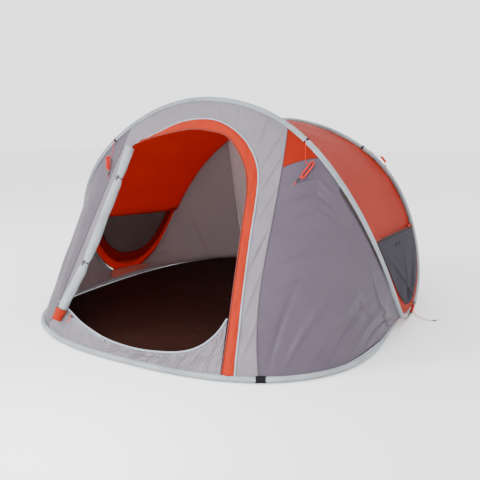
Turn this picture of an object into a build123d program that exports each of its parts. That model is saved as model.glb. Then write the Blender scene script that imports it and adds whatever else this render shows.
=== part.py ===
from build123d import *
import os
from math import cos, pi, radians, sin, tan

os.makedirs("parts", exist_ok=True)

# A pop-up dome tent.  Millimetres, +Z up, door towards -Y, origin on the ground under its middle.

# Hoops
half_span = 1101          # from the middle to each end of the crown hoop
crown_end_y = 107         # both arches turn round near the ground in this plane
crown_end_height = 5
hoop_half_width = 1050    # ground hoop, half its width
hoop_front = 1218         # ground hoop, from the middle to its front
hoop_rear = 1218          # ground hoop, from the middle to its rear
hoop_waist_y = -355       # where the ground hoop's front and rear curves meet
hoop_front_power = 2.53   # squareness of the front curve
hoop_rear_power = 2.69    # squareness of the rear curve
hoop_height = 16          # of the ground hoop's centre
rod_radius = 4
ferrule_wall = 1
ferrule_length = 120      # of the crown hoop's; the ground hoop's is half as long
fit_gap = 0.1
half_joint_gap = 1        # from a hoop's end face to the middle of its joint
ground_joint_straight = 65    # straight run of the ground hoop, each side of its joint
ground_joint_spread = 0.11    # angle from the ground hoop's joint to its first bend
joint_half = 110          # from the crown hoop's joint to the rod's first bend
joint_share = 0.045       # the same, to the second bend, as a share of the rear arch
joint_angle = -0.83       # of the ground hoop's joint

# One side of each arch, from near its end to near its top
front_arch_side = [
    (1080, -240, 226),
    (985, -430, 576),
    (772, -496, 937),
    (433, -462, 1203),
]
front_arch_top = (0, -464, 1304)
rear_arch_side = [
    (1079, 503, 164),
    (971, 688, 536),
    (741, 759, 890),
    (398, 716, 1124),
]
rear_arch_top = (0, 656, 1216)

# Cloth
sleeve_radius = 14
sleeve_wall = 1.5
sleeve_start = 0.047      # part of an arch left bare at each end
sleeve_clearance = 6      # from a sleeve to the cloth beside it
cloth_thickness = 1.2
seam_inset = 0.003        # share of a panel's width left open beside a seam
front_foot_angle = radians(12.6)   # where the front wall ends on the ground hoop
rear_foot_angle = radians(33.4)    # where the rear wall ends on the ground hoop
seam_on_arch = 0.358      # seams of the middle panels, as a share of the sleeved arch
seam_on_hem = 0.311       # the same seams, as a share of the hem
floor_thickness = 2
floor_inset = 18          # from the ground hoop's centre to the groundsheet's edge
roof_end = 0.062          # share of the arches where the roof's ends stop
window_top = 0.187        # share of the arches at the top of an end window
window_bottom = 0.098
window_side = 0.13        # share of the roof's depth in front of and behind a window
flap_top = 0.190
flap_bottom = 0.066
flap_side = 0.045
flap_stand_off = 6        # from an end window to its outer flap
corner_top = 0.058        # share of the arches at the top of an end's corner cloth
corner_clear = 26         # from the ground hoop's centre to that cloth
u_squareness = 0.75       # of the rounded windows, bands and flaps at the ends
band_overlap = 0.004      # share of the arches that an end band runs past its flap
roof_gap = 0.006          # share of the arches between the roof and a flap's seam
window_gap = 0.008        # share of the roof's depth between a window and its band
wrap_half = 23            # half the length of the wrap over the ground hoop's joint

# Door, in shares of the front middle panel: across from its left seam, down from the arch
opening_left = 0.10
opening_edge = [(0.12, 0.138), (0.25, 0.138), (0.40, 0.133), (0.505, 0.128), (0.61, 0.133),
                (0.685, 0.143), (0.75, 0.183), (0.805, 0.24), (0.84, 0.33), (0.848, 0.44),
                (0.855, 0.56), (0.862, 0.70), (0.868, 0.80), (0.872, 0.90), (0.875, 0.985)]
band_edge = [(0.11, 0.133), (0.275, 0.118), (0.38, 0.095), (0.505, 0.082), (0.595, 0.082),
             (0.68, 0.098), (0.78, 0.138), (0.84, 0.185), (0.875, 0.24), (0.89, 0.32),
             (0.893, 0.42), (0.896, 0.56), (0.902, 0.705), (0.91, 0.845), (0.92, 0.985)]
sill_edge = [(0.0, 0.875), (0.11, 0.89), (0.20, 0.915), (0.295, 0.937), (0.375, 0.952),
             (0.46, 0.96), (0.535, 0.962), (0.635, 0.955), (0.73, 0.938), (0.775, 0.918),
             (0.815, 0.885), (0.842, 0.848), (0.860, 0.81)]
gusset_on_seam = 0.185    # orange corner of the front right panel, down its seam
gusset_on_arch = 0.18     # the same corner, along the arch
roll_path = [(0.128, 0.165), (0.139, 0.34), (0.140, 0.53), (0.134, 0.70), (0.096, 0.895)]
roll_stand_off = 36       # from the panel to the roll's centre line
door_roll_radius = 27
cuff_radius = 25
cuff_length = 66
cuff_gap = 1
tie_shares = (0.20, 0.72)    # places of the two ties on the roll
tie_half = 3
tie_wall = 1.7
tie_gap = 0.3
toggle_radius = 3.5
toggle_length = 20
zip_ends = ((0.150, 0.917), (0.38, 0.962))    # of its straight stretch, as for the roll
zip_stand_off = 9
tape_width, tape_thickness = 10, 1.6
slider_middle = 9         # from the start of the tape
slider_size = (16, 11, 3.6)
bridge_size = (9, 3, 4.4)
bridge_height = 7.4
pin_height = 7.6
pin_radius = 1.3
pull_leg = (2, 30, 2)
pull_foot = (14.8, 4, 2.6)

# Cords
cord_radius = 1.5
hank_width, hank_thickness = 24, 16
hank_rounding = 7
hank_stand_off = 6
runner_size = (22, 9, 5)
runner_rounding = 3
runner_clearance = 0.4
tab_width = 12
tab_gap = 1.3             # from a sleeve to the webbing round it
webbing_thickness = 1.2
tab_shares = ((0.339, 0.661), (0.349, 0.651))    # on the front and rear arches
vent_toggle_radius = 3
vent_toggle_length = 24
vent_toggle_depths = (0.38, 0.46)
vent_toggle_drop = 0.014  # share of the arches below the flap's top seam
vent_toggle_stand_off = 15
end_wrap_share = 0.030    # middle of the wrap at each end of the rear arch
end_wrap_half = 0.0105
end_wrap_radii = (9.5, 7.5)


def arch_line(side, top, way):
    """One arch of the crown hoop, from its right end to its left end."""
    right_end = (half_span, crown_end_y, crown_end_height)
    left_end = (-half_span, crown_end_y, crown_end_height)
    left_side = [(-x, y, z) for x, y, z in reversed(side)]
    points = [right_end] + side + [top] + left_side + [left_end]
    tangents = [(0, way, 0), (0, -way, 0)]
    return Spline(*points, tangents=tangents, tangent_scalars=[1, 1])


def hoop_point(angle, inset=0, height=hoop_height):
    """A point of the ground hoop: two half superellipses that meet at its waist."""
    front = sin(angle) < 0
    depth = hoop_front + hoop_waist_y if front else hoop_rear - hoop_waist_y
    power = hoop_front_power if front else hoop_rear_power
    across = abs(cos(angle) / (hoop_half_width - inset)) ** power
    along = abs(sin(angle) / (depth - inset)) ** power
    reach = (across + along) ** (-1 / power)
    return Vector(reach * cos(angle), hoop_waist_y + reach * sin(angle), height)


def hoop_line(start, end, steps=24):
    """The ground hoop between two angles."""
    angles = [start + (end - start) * i / steps for i in range(steps + 1)]
    return Spline(*[hoop_point(angle) for angle in angles])


def between(a, b, share):
    return a + (b - a) * share


def samples(line, count, start=0.0, end=1.0):
    """Points along a line, at even steps of its length."""
    return [line @ between(start, end, i / count) for i in range(count + 1)]


def corner_radii(points):
    """The largest tangent arcs that the runs beside each corner leave room for."""
    radii = []
    for before, corner, after in zip(points, points[1:], points[2:]):
        into = Vector(*corner) - Vector(*before)
        out = Vector(*after) - Vector(*corner)
        turn = radians(into.get_angle(out))
        radii.append(0.45 * min(into.length, out.length) / tan(turn / 2))
    return radii


def tube_path(points):
    """Straight runs joined by tangent arcs."""
    if len(points) > 2:
        return FilletPolyline(*points, radius=corner_radii(points))
    return Line(*points)


def tube(points, radius, inner_radius=0.0):
    """A round tube or rod along straight runs joined by tangent arcs."""
    path = tube_path(points)
    start = Plane(origin=path @ 0, z_dir=path % 0)
    solid = sweep(start * Circle(radius), path=path)
    if inner_radius:
        solid = solid - sweep(start * Circle(inner_radius), path=path)
    return solid


def band(line, share, width, inner_radius, wall):
    """A short ring round a line, centred on a share of its length."""
    half = width / 2 / line.length
    ends = [line @ (share - half), line @ (share + half)]
    return tube(ends, inner_radius + wall, inner_radius)


def grid_normal(grid, i, j, outward):
    """The unit normal of a grid of points at one of them, on the outward side."""
    rows, columns = len(grid) - 1, len(grid[0]) - 1
    along_rows = grid[min(i + 1, rows)][j] - grid[max(i - 1, 0)][j]
    along_columns = grid[i][min(j + 1, columns)] - grid[i][max(j - 1, 0)]
    normal = along_rows.cross(along_columns).normalized()
    return normal if normal.dot(outward) > 0 else normal * -1


def quad(a, b, c, d):
    """Two flat triangles."""
    return [Face(Wire.make_polygon(corners)) for corners in ([a, b, c], [a, c, d])]


def cloth(point, outward, across=(0.0, 1.0), down=(0.0, 1.0), steps=(12, 8)):
    """A thin closed sheet over point(u, v), grown outward."""
    columns, rows = steps
    inner = []
    for i in range(columns + 1):
        u = between(*across, i / columns)
        inner.append([point(u, between(*down, j / rows)) for j in range(rows + 1)])
    way = Vector(*outward)
    outer = [[inner[i][j] + grid_normal(inner, i, j, way) * cloth_thickness for j in range(rows + 1)]
             for i in range(columns + 1)]
    faces = []
    for skin in (inner, outer):
        for i in range(columns):
            for j in range(rows):
                faces += quad(skin[i][j], skin[i + 1][j], skin[i + 1][j + 1], skin[i][j + 1])
    for i in range(columns):
        for j in (0, rows):
            faces += quad(inner[i][j], inner[i + 1][j], outer[i + 1][j], outer[i][j])
    for j in range(rows):
        for i in (0, columns):
            faces += quad(inner[i][j], inner[i][j + 1], outer[i][j + 1], outer[i][j])
    return Solid(Shell(faces))


def smooth_edge(pairs):
    """A smooth curve through (across, down) pairs, drawn at a scale of 1000."""
    return Spline(*[(1000 * across, 1000 * down, 0) for across, down in pairs])


def along(edge, share):
    place = edge @ share
    return place.X / 1000, place.Y / 1000


def save(shape, node):
    export_step(shape, f"parts/{node}.step")


front_arch = arch_line(front_arch_side, front_arch_top, -1)
rear_arch = arch_line(rear_arch_side, rear_arch_top, 1)
front_hem = hoop_line(front_foot_angle, -pi - front_foot_angle)
rear_hem = hoop_line(rear_foot_angle, pi - rear_foot_angle)


def clear_share(run, sleeve_way):
    """The share of a run across a panel that one of its sleeves takes up."""
    slant = sin(radians(run.get_angle(sleeve_way)))
    return (sleeve_radius + sleeve_clearance) / slant / run.length


def wall_point(arch, hem, on_arch, on_hem, down):
    """A point of a wall's ruled surface, clear of the sleeves that it hangs between."""
    place = between(sleeve_start, 1 - sleeve_start, on_arch)
    top, foot = arch @ place, hem @ on_hem
    start = clear_share(foot - top, arch % place)
    end = 1 - clear_share(foot - top, hem % on_hem)
    return between(top, foot, between(start, end, down))


def panel(arch, hem, first, last):
    """A wall panel between two seams, each given as (share of arch, share of hem)."""
    def point(across, down):
        on_arch = between(first[0], last[0], across)
        on_hem = between(first[1], last[1], across)
        return wall_point(arch, hem, on_arch, on_hem, down)
    return point


right_foot = (0, 0)
right_seam = (seam_on_arch, seam_on_hem)
left_seam = (1 - seam_on_arch, 1 - seam_on_hem)
left_foot = (1, 1)
front_left = panel(front_arch, front_hem, left_foot, left_seam)
front_middle = panel(front_arch, front_hem, left_seam, right_seam)
front_right = panel(front_arch, front_hem, right_seam, right_foot)
rear_left = panel(rear_arch, rear_hem, left_foot, left_seam)
rear_middle = panel(rear_arch, rear_hem, left_seam, right_seam)
rear_right = panel(rear_arch, rear_hem, right_seam, right_foot)


def roof_point(along_arch, depth):
    """A point of the roof: from the front arch to the rear one, clear of both sleeves."""
    front = front_arch @ along_arch
    rear = rear_arch @ along_arch
    clear = (sleeve_radius + sleeve_clearance) / (rear - front).length
    return between(front, rear, between(clear, 1 - clear, depth))


def crown_hoop():
    """One long rod, bent round both arches; its two ends meet at the rear arch's top."""
    right_rear = samples(rear_arch, 16, 0.5 - joint_share, 0.0)
    front = samples(front_arch, 40)
    left_rear = samples(rear_arch, 16, 1.0, 0.5 + joint_share)
    top_y, top_z = rear_arch_top[1:]
    first = [(half_joint_gap, top_y, top_z), (joint_half, top_y, top_z)]
    last = [(-joint_half, top_y, top_z), (-half_joint_gap, top_y, top_z)]
    return tube(first + right_rear + front[1:-1] + left_rear + last, rod_radius)


def crown_ferrule():
    half = ferrule_length / 2
    ends = [(side * half, rear_arch_top[1], rear_arch_top[2]) for side in (1, -1)]
    return tube(ends, rod_radius + fit_gap + ferrule_wall, rod_radius + fit_gap)


def joint_way():
    """The ground hoop's direction at its joint."""
    return (hoop_point(joint_angle + 0.01) - hoop_point(joint_angle - 0.01)).normalized()


def ground_hoop():
    """One long rod; its two ends meet at the front right seam."""
    joint, way = hoop_point(joint_angle), joint_way()
    spread, steps = ground_joint_spread, 60
    angles = [joint_angle + spread + (2 * pi - 2 * spread) * i / steps for i in range(steps + 1)]
    straight = way * ground_joint_straight
    bends = [joint + straight] + [hoop_point(angle) for angle in angles] + [joint - straight]
    return tube([joint + way * half_joint_gap] + bends + [joint - way * half_joint_gap], rod_radius)


def ground_ferrule():
    joint, way = hoop_point(joint_angle), joint_way()
    half = ferrule_length / 4
    bore = rod_radius + fit_gap
    return tube([joint - way * half, joint + way * half], bore + ferrule_wall, bore)


def hem_joint_wrap():
    joint, way = hoop_point(joint_angle), joint_way()
    half = way * wrap_half
    return tube([joint - half, joint + half], sleeve_radius + 1.8, sleeve_radius + 1)


def hem_sleeve(start, end):
    return tube(samples(hoop_line(start, end), 60), sleeve_radius, sleeve_radius - sleeve_wall)


def arch_sleeve(arch):
    points = samples(arch, 40, sleeve_start, 1 - sleeve_start)
    return tube(points, sleeve_radius, sleeve_radius - sleeve_wall)


def end_piece(side, shape):
    """A piece near one end of the roof: side is 1 at the right end and -1 at the left."""
    def point(u, v):
        along_arch, depth, stand_off = shape(u, v)
        place = roof_point(along_arch if side > 0 else 1 - along_arch, depth)
        return place + Vector(side * stand_off, 0, 0)
    return point


def end_corner(side):
    """Cloth from the foot of an end band down to the hem, between the front and rear walls."""
    def point(u, v):
        place = roof_point(corner_top if side > 0 else 1 - corner_top, u)
        angle = between(front_foot_angle, rear_foot_angle, u)
        foot = hoop_point(angle)
        foot = Vector(side * foot.X, foot.Y, foot.Z)
        return between(place, foot, between(0.0, 1 - corner_clear / (foot - place).length, v))
    return cloth(point, (side, 0, 0.4), across=(0.12, 0.88), steps=(8, 4))


def u_curve(share, side, top, bottom):
    """A U on the roof's end: down its front side, round its bottom, and up its rear side."""
    angle = pi * share
    swing = abs(cos(angle)) ** u_squareness * (1 if cos(angle) > 0 else -1)
    drop = abs(sin(angle)) ** u_squareness
    return top - (top - bottom) * drop, 0.5 - (0.5 - side) * swing


def end_band_shape(u, v):
    outer = u_curve(u, 0.0, flap_top + band_overlap, roof_end)
    inner = u_curve(u, window_side, flap_top + band_overlap, window_bottom)
    return between(outer[0], inner[0], v), between(outer[1], inner[1], v), 0


def u_sheet(side, top, bottom, stand_off):
    """Rows across a U-shaped sheet, from its straight top edge to its round bottom."""
    def shape(u, v):
        share = 0.03 + 0.94 * v
        left = u_curve(0.5 * share, side, top, bottom)
        right = u_curve(1 - 0.5 * share, side, top, bottom)
        return between(left[0], right[0], u), between(left[1], right[1], u), stand_off
    return shape


def groundsheet():
    outline = Spline(*[hoop_point(2 * pi * i / 48, floor_inset, 0) for i in range(48)], periodic=True)
    return extrude(make_face(outline), floor_thickness)


def edge_strip(outer, inner, outward, steps=28):
    """A strip of the front middle panel between two edges."""
    outer_edge, inner_edge = smooth_edge(outer), smooth_edge(inner)

    def point(u, v):
        a, b = along(outer_edge, u), along(inner_edge, u)
        return front_middle(between(a[0], b[0], v), between(a[1], b[1], v))
    return cloth(point, outward, down=(0.02, 0.98), steps=(steps, 3))


def door_frame():
    """The pale cloth over and to the right of the door."""
    top, side = 0.006, 0.994
    over = [(0.004, top), (0.14, top), (0.28, top), (0.42, top), (0.56, top), (0.70, top), (0.85, top),
            (side, top), (side, 0.15), (side, 0.27), (side, 0.41), (side, 0.55), (side, 0.70), (side, 0.85),
            (side, 1.0)]
    return edge_strip(over, band_edge, (0, -1, 0.6))


def door_sill():
    top = smooth_edge(sill_edge)

    def point(u, v):
        edge = along(top, u)
        foot = (0.864 * u, 1.0)
        return front_middle(between(edge[0], foot[0], v), between(edge[1], foot[1], v))
    return cloth(point, (0, -1, 0.6), across=(0.01, 0.99), steps=(24, 3))


def door_side():
    """The narrow strip beside the left seam that the rolled door is sewn to."""
    def point(u, v):
        return front_middle(between(0.004, opening_left, u), v)
    return cloth(point, (0, -1, 0.6), down=(0.14, 0.865), steps=(3, 10))


def roll_line():
    """The rolled door's centre line, outside the door's left edge."""
    away = Vector(-0.15, -1, 0.5).normalized() * roll_stand_off
    return [front_middle(*place) + away for place in roll_path]


def roll_cuff():
    """The orange hem at the lower end of the rolled door."""
    before, foot = roll_line()[-2:]
    way = (foot - before).normalized()
    return tube([foot + way * cuff_gap, foot + way * cuff_length], cuff_radius)


def roll_ties():
    """Two thin ties round the rolled door, each with its toggle."""
    line = tube_path(roll_line())
    bore = door_roll_radius + tie_gap
    ties = []
    for share in tie_shares:
        middle, way = line @ share, line % share
        ring = tube([middle - way * tie_half, middle + way * tie_half], bore + tie_wall, bore)
        beside = middle + Vector(0, -bore - tie_wall - toggle_radius + 1, 8)
        toggle = Plane(origin=beside, z_dir=way) * Cylinder(toggle_radius, toggle_length, rotation=(90, 0, 0))
        ties += [ring, toggle]
    return Compound(children=[Compound(children=ties)])


zip_start, zip_end = (front_middle(*place) for place in zip_ends)
zip_way = (zip_end - zip_start).normalized()
wall_out = Vector(-0.1, -1, 0.55)
wall_out = (wall_out - zip_way * wall_out.dot(zip_way)).normalized()
zip_plane = Plane(origin=zip_start + wall_out * zip_stand_off, x_dir=zip_way, z_dir=wall_out)


def zip_tape():
    """The straight lower stretch of the door's zip, on the outside of the sill."""
    length = (zip_end - zip_start).length
    return zip_plane * Pos(length / 2, 0, 0) * Box(length, tape_width, tape_thickness)


def zip_slider():
    """The slider's body, just outside the tape, with the bridge that its pull hangs on."""
    body = Pos(slider_middle, 0, 3.4) * Box(*slider_size)
    bridge = Pos(slider_middle, 0, bridge_height) * Box(*bridge_size)
    eye = Pos(slider_middle, 0, pin_height) * Cylinder(pin_radius + fit_gap, 12, rotation=(0, 90, 0))
    return zip_plane * (body + bridge - eye)


def zip_pull():
    """A short bar through the slider's bridge, with a cord loop below it."""
    pull = Pos(slider_middle, 0, pin_height) * Cylinder(pin_radius, 14, rotation=(0, 90, 0))
    for side in (-6.4, 6.4):
        pull += Pos(slider_middle + side, -14, pin_height) * Box(*pull_leg)
    pull += Pos(slider_middle, -30, pin_height) * Box(*pull_foot)
    return zip_plane * pull


def hank(first, last, outward):
    """The closed outer shape of one wound guy line."""
    away = Vector(*outward) * hank_stand_off
    first, last = first + away, last + away
    way = last - first
    side = Vector(*outward).cross(way).normalized()
    plane = Plane(origin=between(first, last, 0.5), x_dir=way, z_dir=way.cross(side))
    block = Box(way.length, hank_width, hank_thickness)
    return plane * fillet(block.edges(), hank_rounding)


def runner(middle, way, outward):
    """A three-hole runner: a small bar that the guy line is threaded through."""
    side = Vector(*outward).cross(Vector(*way)).normalized()
    plane = Plane(origin=middle, x_dir=Vector(*way), z_dir=Vector(*way).cross(side))
    bar = Box(*runner_size)
    hole = Cylinder(cord_radius + runner_clearance, 2 * runner_size[0], rotation=(0, 90, 0))
    return plane * (fillet(bar.edges().filter_by(Axis.Z), runner_rounding) - hole)


# Each guy: its exit and line down to the hank, the hank's ends, then its runner and tail
guys = {
    "front_right": {
        "line": [(637, -508, 1073), (643, -519, 1052), (649, -530, 1022), (654, -545, 988),
                 (663, -558, 954)],
        "hank": [(697, -530, 970), (652, -592, 884)],
        "runner": (640, -604, 880),
        "tail": [(634, -609, 873), (628, -614, 865), (624, -620, 854)],
        "outward": (0.3, -0.85, 0.5),
    },
    "front_left": {
        "line": [(-634, -508, 1072), (-630, -519, 1050), (-623, -531, 1022), (-618, -547, 990),
                 (-617, -561, 963)],
        "hank": [(-642, -552, 974), (-598, -606, 890)],
        "runner": (-590, -619, 874),
        "tail": [(-588, -623, 866), (-588, -628, 856), (-592, -634, 846)],
        "outward": (-0.3, -0.85, 0.5),
    },
    "rear_right": {
        "line": [(644, 786, 992), (658, 786, 978), (676, 788, 964), (692, 787, 954),
                 (708, 782, 948)],
        "hank": [(722, 790, 944), (776, 690, 912)],
        "runner": (794, 640, 890),
        "tail": [(801, 628, 882), (808, 612, 872), (814, 596, 862)],
        "outward": (0.7, 0.1, 0.7),
    },
    "rear_left": {
        "line": [(-652, 782, 985), (-660, 795, 966), (-668, 812, 940), (-676, 830, 912),
                 (-684, 850, 884)],
        "hank": [(-690, 862, 878), (-714, 912, 792)],
        "runner": (-716, 930, 770),
        "tail": [(-716, 934, 762), (-714, 939, 750), (-710, 944, 738)],
        "outward": (-0.3, 0.85, 0.4),
    },
}


def guy_tabs():
    """A narrow webbing band round the sleeve at each guy, and the loop that holds the cord."""
    rings = []
    for arch, shares in zip((front_arch, rear_arch), tab_shares):
        for share in shares:
            rings.append(band(arch, share, tab_width, sleeve_radius + tab_gap, webbing_thickness))
    return Compound(children=rings)


def vent_toggles(side):
    """Two short loops with toggles, sewn to the top of a vent flap to tie it up."""
    top = end_piece(side, lambda u, v: (flap_top - vent_toggle_drop, u, vent_toggle_stand_off))
    pieces = []
    for depth in vent_toggle_depths:
        pieces.append(Location(top(depth, 0)) * Cylinder(vent_toggle_radius, vent_toggle_length))
    return Compound(children=pieces)


# Build and write every node
save(crown_hoop(), "crown_hoop")
save(crown_ferrule(), "crown_ferrule")
save(ground_hoop(), "ground_hoop")
save(ground_ferrule(), "ground_ferrule")
save(arch_sleeve(front_arch), "front_arch_sleeve")
save(arch_sleeve(rear_arch), "rear_arch_sleeve")
save(hem_sleeve(0.002, -pi - 0.002), "front_hem_sleeve")
save(hem_sleeve(0.004, pi - 0.004), "rear_hem_sleeve")
save(hem_joint_wrap(), "hem_joint_wrap")

inset = seam_inset
save(cloth(front_left, (-0.5, -1, 0.6), across=(inset, 1 - inset)), "front_left_panel")
save(cloth(rear_left, (-0.5, 1, 0.6), across=(inset, 1 - inset)), "rear_left_panel")
save(cloth(rear_middle, (0, 1, 0.6), across=(inset, 1 - inset)), "rear_middle_panel")
save(cloth(rear_right, (0.5, 1, 0.6), across=(inset, 1 - inset)), "rear_right_panel")


def gusset_depth(across):
    return max(gusset_on_seam * (1 - across / gusset_on_arch), 0.0)


def right_main(across, down):
    top = gusset_depth(across)
    return front_right(across, between(top, 1, down))


def right_gusset(across, down):
    place = across * gusset_on_arch
    return front_right(place, gusset_depth(place) * down)


save(cloth(right_main, (0.5, -1, 0.6), across=(inset, 1 - inset), steps=(20, 8)), "front_right_panel")
corner = cloth(right_gusset, (0.5, -1, 0.6), across=(0.04, 0.93), down=(0, 0.97), steps=(6, 4))
save(corner, "front_right_gusset")
save(door_frame(), "door_frame_panel")
save(edge_strip(band_edge, opening_edge, (0, -1, 0.6)), "door_storm_band")
save(door_sill(), "door_sill_panel")
save(door_side(), "door_side_strip")

roof_start = flap_top + roof_gap
save(cloth(roof_point, (0, 0, 1), across=(roof_start, 1 - roof_start), steps=(24, 6)), "roof_panel")
for side, name in ((1, "right"), (-1, "left")):
    outward = (side, 0, 0.2)
    save(cloth(end_piece(side, end_band_shape), outward, steps=(24, 3)), f"{name}_end_band")
    save(end_corner(side), f"{name}_end_corner")
    window = u_sheet(window_side + window_gap, window_top, window_bottom + window_gap / 4, 0)
    save(cloth(end_piece(side, window), outward, steps=(10, 10)), f"{name}_vent_mesh")
    flap = u_sheet(flap_side, flap_top - 0.002, flap_bottom, flap_stand_off)
    save(cloth(end_piece(side, flap), outward, steps=(10, 10)), f"{name}_vent_flap")
    save(vent_toggles(side), f"{name}_vent_toggles")

save(groundsheet(), "groundsheet")
save(tube(roll_line(), door_roll_radius), "door_roll")
save(roll_cuff(), "door_roll_cuff")
save(roll_ties(), "door_roll_ties")
save(zip_tape(), "door_zip")
save(zip_slider(), "zip_slider")
save(zip_pull(), "zip_pull")

save(guy_tabs(), "guy_tabs")
for name, guy in guys.items():
    cords = [tube(guy["line"], cord_radius), tube(guy["tail"], cord_radius)]
    save(Compound(children=cords), f"{name}_guy_line")
    first, last = (Vector(*place) for place in guy["hank"])
    save(hank(first, last, guy["outward"]), f"{name}_guy_hank")
    way = Vector(*guy["tail"][1]) - Vector(*guy["tail"][0])
    save(runner(Vector(*guy["runner"]), way, guy["outward"]), f"{name}_guy_runner")

# The crown hoop's ends: a webbing wrap on each, and the loose peg cord at the right one
wraps = []
for middle in (end_wrap_share, 1 - end_wrap_share):
    wrapped = samples(rear_arch, 4, middle - end_wrap_half, middle + end_wrap_half)
    wraps.append(tube(wrapped, *end_wrap_radii))
save(Compound(children=wraps), "end_webbing")

peg_cord = [(1113, 204, 14), (1123, 190, 8), (1140, 170, 3), (1162, 142, 1.6), (1190, 126, 1.6),
            (1220, 118, 1.6), (1240, 122, 1.6)]
peg_cord_tail = [(1258, 133, 1.6), (1270, 152, 1.6), (1274, 176, 1.6)]
peg_cords = [tube(peg_cord, cord_radius), tube(peg_cord_tail, cord_radius)]
save(Compound(children=peg_cords), "peg_cord")
save(runner(Vector(1249, 127, 2.6), (18, 11, 0), (0, 0, 1)), "peg_cord_runner")
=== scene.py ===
import math
import bpy
import numpy as np
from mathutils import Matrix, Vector, noise


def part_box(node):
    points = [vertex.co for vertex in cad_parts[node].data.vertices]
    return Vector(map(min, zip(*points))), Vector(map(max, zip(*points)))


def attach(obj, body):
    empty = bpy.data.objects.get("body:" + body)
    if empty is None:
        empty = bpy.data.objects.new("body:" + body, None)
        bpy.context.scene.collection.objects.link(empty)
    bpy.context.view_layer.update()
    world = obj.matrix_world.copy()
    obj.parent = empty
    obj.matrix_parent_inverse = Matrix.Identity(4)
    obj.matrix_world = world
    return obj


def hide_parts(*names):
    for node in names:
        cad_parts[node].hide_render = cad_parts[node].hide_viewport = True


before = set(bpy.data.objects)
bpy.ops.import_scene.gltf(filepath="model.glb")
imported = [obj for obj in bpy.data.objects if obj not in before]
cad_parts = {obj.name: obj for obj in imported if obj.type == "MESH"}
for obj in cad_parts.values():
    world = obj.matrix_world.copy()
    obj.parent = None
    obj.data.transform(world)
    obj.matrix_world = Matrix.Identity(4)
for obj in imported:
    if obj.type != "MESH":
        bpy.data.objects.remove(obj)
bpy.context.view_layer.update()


# ---- camera, light and floor
studio = {
    "cameraPlace": (1.6331, -3.0931, 1.106),
    "cameraTilt": math.radians(90 - 11.345),
    "cameraTurn": math.radians(28.006),
    "lens": 39.49,
    "floorSize": 60.0,
    "keyEnergy": 330.0,
    "doorEnergy": 30.0,
    "fillEnergy": 40.0,
    "worldLight": 2.3,
}


def makeCamera():
    data = bpy.data.cameras.new("studioCamera")
    data.sensor_width = 36
    data.lens = studio["lens"]
    cam = bpy.data.objects.new("studioCamera", data)
    cam.location = studio["cameraPlace"]
    cam.rotation_euler = (studio["cameraTilt"], 0, studio["cameraTurn"])
    bpy.context.scene.collection.objects.link(cam)
    bpy.context.scene.camera = cam


def areaLight(name, place, target, size, energy):
    data = bpy.data.lights.new(name, "AREA")
    data.size = size
    data.energy = energy
    lamp = bpy.data.objects.new(name, data)
    lamp.location = place
    lamp.rotation_euler = (Vector(target) - Vector(place)).to_track_quat("-Z", "Y").to_euler()
    bpy.context.scene.collection.objects.link(lamp)


def makeStudio():
    world = bpy.data.worlds.new("softStudio")
    world.use_nodes = True
    back = world.node_tree.nodes["Background"]
    back.inputs["Color"].default_value = (1.0, 1.0, 1.0, 1)
    back.inputs["Strength"].default_value = studio["worldLight"]
    bpy.context.scene.world = world
    areaLight("keyLight", (-4.2, -3.2, 4.6), (0, 0, 0.6), 1.8, studio["keyEnergy"])
    areaLight("fillLight", (5.0, -2.0, 3.0), (0, 0, 0.5), 3.0, studio["fillEnergy"])
    areaLight("doorLight", (0.25, -2.3, 0.9), (-0.25, 0.2, 0.55), 1.0, studio["doorEnergy"])
    half = studio["floorSize"] / 2
    mesh = bpy.data.meshes.new("studioFloor")
    mesh.from_pydata([(-half, -half, 0), (half, -half, 0), (half, half, 0), (-half, half, 0)], [],
                     [(0, 1, 2, 3)])
    floor = bpy.data.objects.new("studioFloor", mesh)
    floor.location.z = -0.0005
    bpy.context.scene.collection.objects.link(floor)
    mat = bpy.data.materials.new("studioFloor")
    mat.use_nodes = True
    shader = mat.node_tree.nodes["Principled BSDF"]
    shader.inputs["Base Color"].default_value = (0.93, 0.93, 0.93, 1)
    shader.inputs["Roughness"].default_value = 0.9
    mesh.materials.append(mat)


# ---- materials
def shaderNodes(name):
    mat = bpy.data.materials.new(name)
    mat.use_nodes = True
    nodes, links = mat.node_tree.nodes, mat.node_tree.links
    return mat, nodes, links, nodes["Principled BSDF"]


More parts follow.
